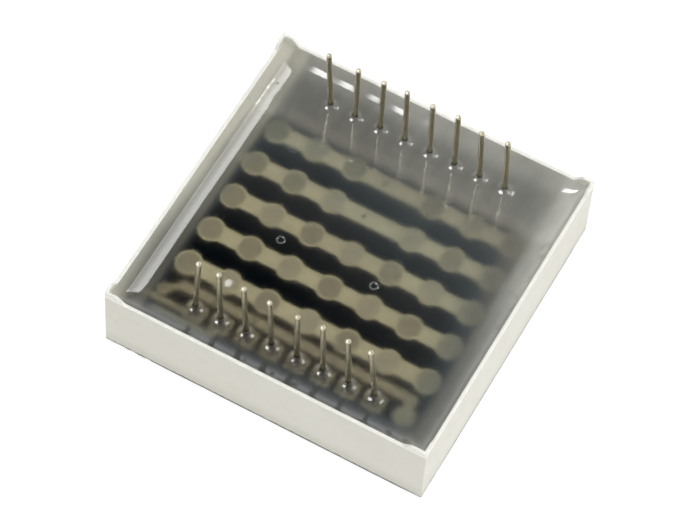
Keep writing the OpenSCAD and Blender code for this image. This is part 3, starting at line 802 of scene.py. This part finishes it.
def resin_height(x, y):
    wall = 15.53
    z = np.full_like(x, RESIN_Z)
    # slow unevenness of the poured surface
    z = z + 0.010 * np.sin(0.21 * x + 0.13 * y + 0.4) + 0.007 * np.sin(0.33 * y - 0.17 * x + 1.9) + 0.0016 * np.sin(1.1 * x + 0.6 * y) * np.sin(0.9 * y + 0.7)
    # the walls
    dl = np.maximum(wall + x, 0.0)
    dr = np.maximum(wall - x, 0.0)
    db = np.maximum(wall - y, 0.0)
    df = np.maximum(wall + y, 0.0)
    hl = HW * (1 + 0.004 * np.sin(0.55 * y + 0.3) + 0.001 * np.sin(1.9 * y + 1.0))
    hr = 1.04 * (1 + 0.02 * np.sin(0.8 * y + 1.1) + 0.012 * np.sin(2.9 * y))
    hb = 1.04 * (1 + 0.025 * np.sin(0.7 * x + 2.0) + 0.012 * np.sin(2.3 * x + 0.5))
    hf = 1.00 * (1 + 0.02 * np.sin(0.6 * x + 0.9) + 0.015 * np.sin(2.1 * x))
    el = hl * np.exp(-dl / LAM)
    er = hr * np.exp(-dr / 0.95)
    eb = hb * np.exp(-db / 0.85)
    ef = hf * np.exp(-df / 1.00)
    # corners: the rises blend rather than add
    z = z + (el ** 3 + er ** 3 + eb ** 3 + ef ** 3 + 1e-12) ** (1 / 3)
    z = z + 0.40 * np.exp(-dl / 1.8) * np.exp(-db / 1.2) * (1 - np.exp(-dl / 0.6)) * (1 - np.exp(-db / 0.4))
    # the pins
    for i, (px, py) in enumerate(PINS):
        front = i < 8
        cx, cy = (px + 0.02, py - 0.04) if front else (px + 0.0, py - 0.02)
        k = 1.0
        if i in (7, 8):
            k = 1.25
        ex, ey = x - cx, y - cy
        rho = np.sqrt(ex * ex + ey * ey + 1e-6)
        ring = 0.33 * k * np.exp(-np.maximum(rho - 0.25, 0) / 0.30) * (rho < 4)
        # two small flatter spots on the ring
        for ox, oy, way, w in ((0.48, -0.14, toward(30.2, 0.498), 0.15), (-0.13, -0.50, (-0.42, -0.22, 0.88), 0.135)):
            sx, sy = facing((px + ox, py + oy, RESIN_Z + 0.14), way)
            q = 0.33 * math.exp(-(math.hypot(ox, oy) - 0.25) / 0.30) + sx * (ex - ox) + sy * (ey - oy)
            m = plateau(np.sqrt((ex - ox) ** 2 + (ey - oy) ** 2), w * k ** 2, 0.018)
            ring = ring + m * (q - ring)
        z = z + ring
    # ripples beside the +X wall
    rip = np.exp(-((dr - 0.9) / 0.7) ** 2) * plateau(np.abs(y - 3.4), 4.2, 0.4)
    z = z + 0.010 * rip * np.sin(5.2 * y + 1.2 * x)
    rip = np.exp(-((dr - 1.2) / 0.8) ** 2) * plateau(np.abs(y + 11.8), 2.6, 0.4)
    z = z + 0.008 * rip * np.sin(4.1 * y + 2.0)
    # two ring-shaped bubble marks and a few shallow dimples
    for bx, by, r0, amp in ((-5.8, -2.5, 0.36, 0.030), (3.6, -2.5, 0.36, 0.032), (-9.5, 6.35, 0.38, 0.006), (-2.5, -5.6, 0.25, 0.006),
                            (2.9, 2.3, 0.10, 0.006), (4.2, 6.4, 0.12, 0.007), (13.0, 4.7, 0.12, 0.008), (10.6, -8.1, 0.12, 0.008), (12.6, -8.1, 0.12, 0.008)):
        rho = np.sqrt((x - bx) ** 2 + (y - by) ** 2)
        z = z + amp * bell(rho - r0, 0.085) - 1.2 * amp * bell(rho, r0 * 0.8)
    # a skinned-over bubble that tilts towards the lamp
    rho = np.sqrt((x + 7.6) ** 2 + (y + 8.7) ** 2)
    sx, sy = facing((-7.6, -8.7, RESIN_Z), toward(8.0, 0.50))
    z = z + (sx * (x + 7.6) + sy * (y + 8.7)) * plateau(rho, 0.46, 0.03)
    return z


def axis(parts):
    """A list of grid lines: (from, to, spacing) spans joined end to end."""
    out = [parts[0][0]]
    for a, b, s in parts:
        n = max(1, int(round((b - a) / s)))
        out += [a + (b - a) * (i + 1) / n for i in range(n)]
    return np.array(out)


def make_resin():
    E = 15.545
    xs = [(-E, -15.30, 0.035), (-15.30, -13.0, 0.06), (-13.0, -10.0, 0.2)]
    at = -10.0
    for px in PIN_X:
        if px - 0.85 > at:
            xs.append((at, px - 0.85, 0.14))
        xs.append((px - 0.85, px - 0.3, 0.055))
        xs.append((px - 0.3, px + 0.3, 0.07))
        xs.append((px + 0.3, px + 0.95, 0.055))
        at = px + 0.95
    xs += [(at, 13.2, 0.2), (13.2, 15.30, 0.075), (15.30, E, 0.035)]
    X = axis(xs)
    ys = [(-E, -15.30, 0.035), (-15.30, -13.4, 0.08), (-13.4, -13.05, 0.06), (-13.05, -12.49, 0.055), (-12.49, -11.89, 0.07), (-11.89, -11.3, 0.055),
          (-11.3, -9.4, 0.16), (-9.4, -8.0, 0.07), (-8.0, -6.1, 0.19), (-6.1, -5.1, 0.1), (-5.1, -3.1, 0.2), (-3.1, -1.9, 0.055),
          (-1.9, 1.9, 0.22), (1.9, 2.7, 0.1), (2.7, 4.4, 0.2), (4.4, 5.0, 0.1), (5.0, 5.9, 0.15), (5.9, 6.9, 0.09), (6.9, 11.3, 0.22),
          (11.3, 11.89, 0.055), (11.89, 12.49, 0.07), (12.49, 13.05, 0.055), (13.05, 13.6, 0.07), (13.6, 15.30, 0.07), (15.30, E, 0.035)]
    Y = axis(ys)
    gx, gy = np.meshgrid(X, Y, indexing="ij")
    gz = resin_height(gx, gy)
    e = 0.004
    nx = -(resin_height(gx + e, gy) - resin_height(gx - e, gy)) / (2 * e)
    ny = -(resin_height(gx, gy + e) - resin_height(gx, gy - e)) / (2 * e)
    nrm = np.stack([nx, ny, np.ones_like(nx)], -1)
    nrm /= np.linalg.norm(nrm, axis=-1, keepdims=True)
    a, b = gx.shape
    top = np.stack([gx, gy, gz], -1).reshape(-1, 3)
    idx = np.arange(a * b).reshape(a, b)
    faces = np.stack([idx[:-1, :-1], idx[1:, :-1], idx[1:, 1:], idx[:-1, 1:]], -1).reshape(-1, 4).tolist()
    rim = list(idx[:, 0]) + list(idx[-1, 1:]) + list(idx[-2::-1, -1]) + list(idx[0, -2:0:-1])
    rim = [int(i) for i in rim]
    n0 = len(top)
    low = top[rim].copy()
    low[:, 2] = 3.9
    verts = np.concatenate([top, low])
    m = len(rim)
    for i in range(m):
        j = (i + 1) % m
        faces.append([rim[j], rim[i], n0 + i, n0 + j])
    faces.append([n0 + i for i in reversed(range(m))])
    me = bpy.data.meshes.new("cast_resin")
    me.from_pydata((verts * MM).tolist(), [], faces)
    me.update()
    ob = place("cast_resin", me, "potting", "potting", "potting_resin")
    sharp = [False] * len(me.edges)
    cut = set(rim)
    for ed in me.edges:
        v0, v1 = ed.vertices
        if (v0 in cut and v1 in cut and v0 < n0 and v1 < n0) or (v0 >= n0 and v1 >= n0):
            sharp[ed.index] = True
    me.edges.foreach_get
    for i, s in enumerate(sharp):
        if s:
            me.edges[i].use_edge_sharp = True
    # the top's own slopes give its normals, so highlights stay smooth between grid lines
    loops = np.zeros(len(me.loops), np.int32)
    me.loops.foreach_get("vertex_index", loops)
    ln = np.zeros((len(me.loops), 3))
    nt_faces = (a - 1) * (b - 1)
    nf = nt_faces * 4
    ln[:nf] = nrm.reshape(-1, 3)[loops[:nf]]
    k = nf
    for f in me.polygons[nt_faces:]:
        for _ in range(f.loop_total):
            ln[k] = f.normal
            k += 1
    me.normals_split_custom_set(ln.tolist())
    return ob


make_shell()
make_mask()
make_dots()
for i in range(16):
    make_pin(i)
make_resin()


# ---------------------------------------------------------------------------
# Camera
# ---------------------------------------------------------------------------
def make_camera():
    az, el, roll = math.radians(24.87), math.radians(59.0), math.radians(4.6)
    target, dist = Vector((0.62, -1.40, 5.64)) * MM, 319.0 * MM
    back = Vector((math.sin(az) * math.cos(el), -math.cos(az) * math.cos(el), math.sin(el)))
    right = (-back).cross(Vector((0, 0, 1))).normalized()
    up = right.cross(-back)
    r2 = right * math.cos(roll) + up * math.sin(roll)
    u2 = -right * math.sin(roll) + up * math.cos(roll)
    cam = bpy.data.cameras.new("camera")
    cam.sensor_width = 36.0
    cam.lens = 3614.0 * 36.0 / 700.0
    cam.clip_start, cam.clip_end = 0.01, 20.0
    ob = bpy.data.objects.new("camera", cam)
    bpy.context.scene.collection.objects.link(ob)
    loc = target + back * dist
    ob.matrix_world = Matrix(((r2.x, u2.x, back.x, loc.x), (r2.y, u2.y, back.y, loc.y), (r2.z, u2.z, back.z, loc.z), (0, 0, 0, 1)))
    bpy.context.scene.camera = ob


make_camera()


# ---------------------------------------------------------------------------
# Stage: pale floor, soft studio light
# ---------------------------------------------------------------------------
def make_floor():
    me = bpy.data.meshes.new("floor")
    s = 3.0
    me.from_pydata([(-s, -s, -0.00002), (s, -s, -0.00002), (s, s, -0.00002), (-s, s, -0.00002)], [], [(0, 1, 2, 3)])
    m, nt, p, _ = material("floor_white")
    v, x, y, z = coords(nt)
    n1 = noise(nt, v, 0.02, 2.0)
    wire(nt, p, color=mix(nt, n1, (0.40, 0.40, 0.40), (0.42, 0.42, 0.42)), rough=0.9, spec=0.0, emit=(1.0, 1.0, 1.0), emit_s=0.78)
    me.materials.append(m)
    ob = bpy.data.objects.new("floor", me)
    bpy.context.scene.collection.objects.link(ob)


make_floor()


def area(name, direction, dist, size, power, glossy=False, color=(1, 1, 1)):
    li = bpy.data.lights.new(name, "AREA")
    li.shape = "SQUARE"
    li.size = size
    li.energy = power
    li.color = color
    ob = bpy.data.objects.new(name, li)
    bpy.context.scene.collection.objects.link(ob)
    d = Vector(direction).normalized()
    ob.location = d * dist
    ob.rotation_mode = "QUATERNION"
    ob.rotation_quaternion = d.to_track_quat("Z", "Y")
    ob.visible_camera = False
    ob.visible_glossy = glossy
    ob.visible_transmission = False
    return ob


# radiance = power / (pi * area); irradiance on a facing plane = radiance * size^2 / dist^2
def lamp(name, direction, dist, size, irr, **kw):
    """irr: irradiance / pi on a plane that faces the lamp, so a white plane reads as irr."""
    return area(name, direction, dist, size, irr * math.pi * math.pi * dist * dist, **kw)


lamp("lamp_top", (0.10, 0.05, 1.0), 0.9, 0.7, 0.60)
lamp("lamp_right", (0.80, 0.25, 0.62), 0.9, 0.45, 0.18)
lamp("lamp_front", (-0.25, -0.85, 0.55), 0.9, 0.5, 0.05)


def make_world():
    w = bpy.data.worlds.new("studio")
    bpy.context.scene.world = w
    w.use_nodes = True
    nt = w.node_tree
    nt.nodes.clear()
    out = nt.nodes.new("ShaderNodeOutputWorld")
    tc = node(nt, "ShaderNodeTexCoord")
    xyz = node(nt, "ShaderNodeSeparateXYZ", {0: tc.outputs["Generated"]})
    x, y, z = xyz.outputs[0], xyz.outputs[1], xyz.outputs[2]
    # a dark patch behind the object, which the flat resin mirrors, in a soft pale room
    def window(v, lo, hi, soft):
        return mth(nt, "MULTIPLY", step(nt, v, lo - soft, lo + soft), step(nt, v, hi + soft, hi - soft))

    room = step(nt, z, 0.75, 0.10, 0.45, 1.9)
    hole = mth(nt, "MULTIPLY", window(x, -0.48, 0.04, 0.13), window(y, 0.26, 0.68, 0.11))
    lum = mth(nt, "MULTIPLY", room, mth(nt, "SUBTRACT", 1.0, mth(nt, "MULTIPLY", hole, 0.97)))
    # long narrow box from overhead down to the right, a little brighter at its borders
    ang = mth(nt, "ARCTAN2", x, z)
    along = window(ang, math.radians(2.5), math.radians(34.1), 0.012)
    across = window(y, 0.400, 0.518, 0.004)
    deg = mth(nt, "MULTIPLY", ang, 180.0 / math.pi)
    glow = curve(nt, deg, [(2.0, 9.0), (6.0, 9.6), (11.0, 9.4), (16.0, 7.4), (22.0, 5.4), (28.0, 4.0), (32.0, 4.4), (35.0, 5.6)], 10.0)
    a = mth(nt, "MULTIPLY", mth(nt, "MULTIPLY", along, across), glow)
    core = mth(nt, "MULTIPLY", window(ang, math.radians(27.0), math.radians(33.5), 0.01), window(y, 0.491, 0.505, 0.002))
    a = mth(nt, "ADD", a, mth(nt, "MULTIPLY", core, 24.0))
    # small box, left and in front
    b = mth(nt, "MULTIPLY", window(x, -0.60, -0.235, 0.02), window(y, -0.40, -0.05, 0.02))
    b = mth(nt, "MULTIPLY", b, step(nt, z, 0.1, 0.2, 0.0, 18.0))
    lum = mth(nt, "ADD", lum, mth(nt, "ADD", a, b))
    lp = nt.nodes.new("ShaderNodeLightPath")
    studio = node(nt, "ShaderNodeBackground", {0: (1.0, 1.0, 0.985, 1.0), 1: lum})
    ambient = node(nt, "ShaderNodeBackground", {0: (1.0, 1.0, 1.0, 1.0), 1: 0.30})
    white = node(nt, "ShaderNodeBackground", {0: (1.0, 1.0, 1.0, 1.0), 1: 1.0})
    m1 = node(nt, "ShaderNodeMixShader", {0: lp.outputs["Is Glossy Ray"], 1: ambient.outputs[0], 2: studio.outputs[0]})
    m2 = node(nt, "ShaderNodeMixShader", {0: lp.outputs["Is Camera Ray"], 1: m1.outputs[0], 2: white.outputs[0]})
    nt.links.new(m2.outputs[0], out.inputs[0])


make_world()

sc = bpy.context.scene
sc.view_settings.view_transform = "Standard"
sc.view_settings.look = "None"
sc.view_settings.exposure = 0.0
sc.view_settings.gamma = 1.0
sc.cycles.caustics_reflective = False
sc.cycles.caustics_refractive = False
sc.cycles.max_bounces = 10
sc.cycles.sample_clamp_indirect = 6.0
